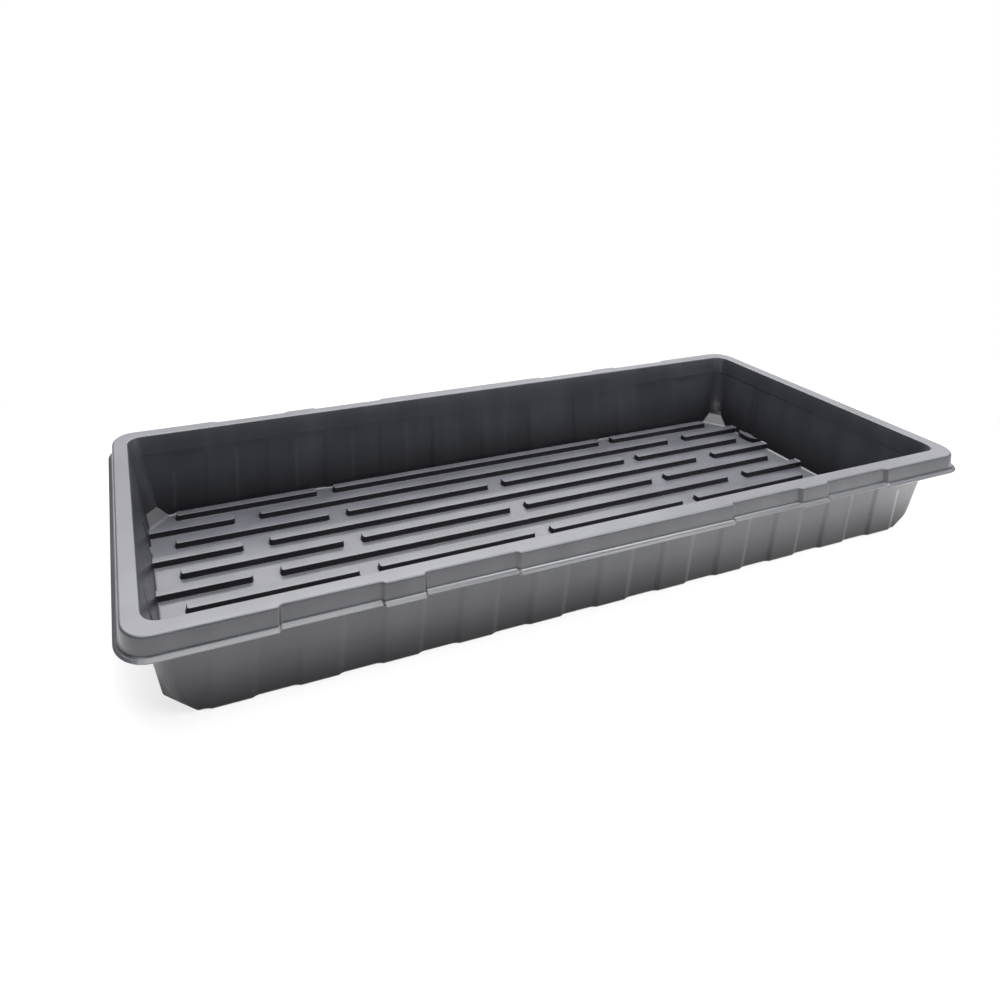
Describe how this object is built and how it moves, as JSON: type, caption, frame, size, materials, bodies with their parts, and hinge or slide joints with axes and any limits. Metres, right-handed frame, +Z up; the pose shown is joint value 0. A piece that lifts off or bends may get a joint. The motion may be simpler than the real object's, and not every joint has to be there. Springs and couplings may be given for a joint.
{
  "type": "seed tray",
  "caption": "Long shallow black plastic seed tray with a flat rim over a stepped skirt, sloping fluted walls and a floor of staggered raised ribs, for holding pots and catching water.",
  "frame": {"origin": "centre of the tray's footprint, on the surface it stands on", "axes": "+X along the tray's length, +Y along its width, +Z up"},
  "size_m": [0.58, 0.22, 0.06],
  "materials": {
    "tray": "satin black formed sheet"
  },
  "bodies": {
    "root": {"tray": "tray"}
  },
  "joints": []
}
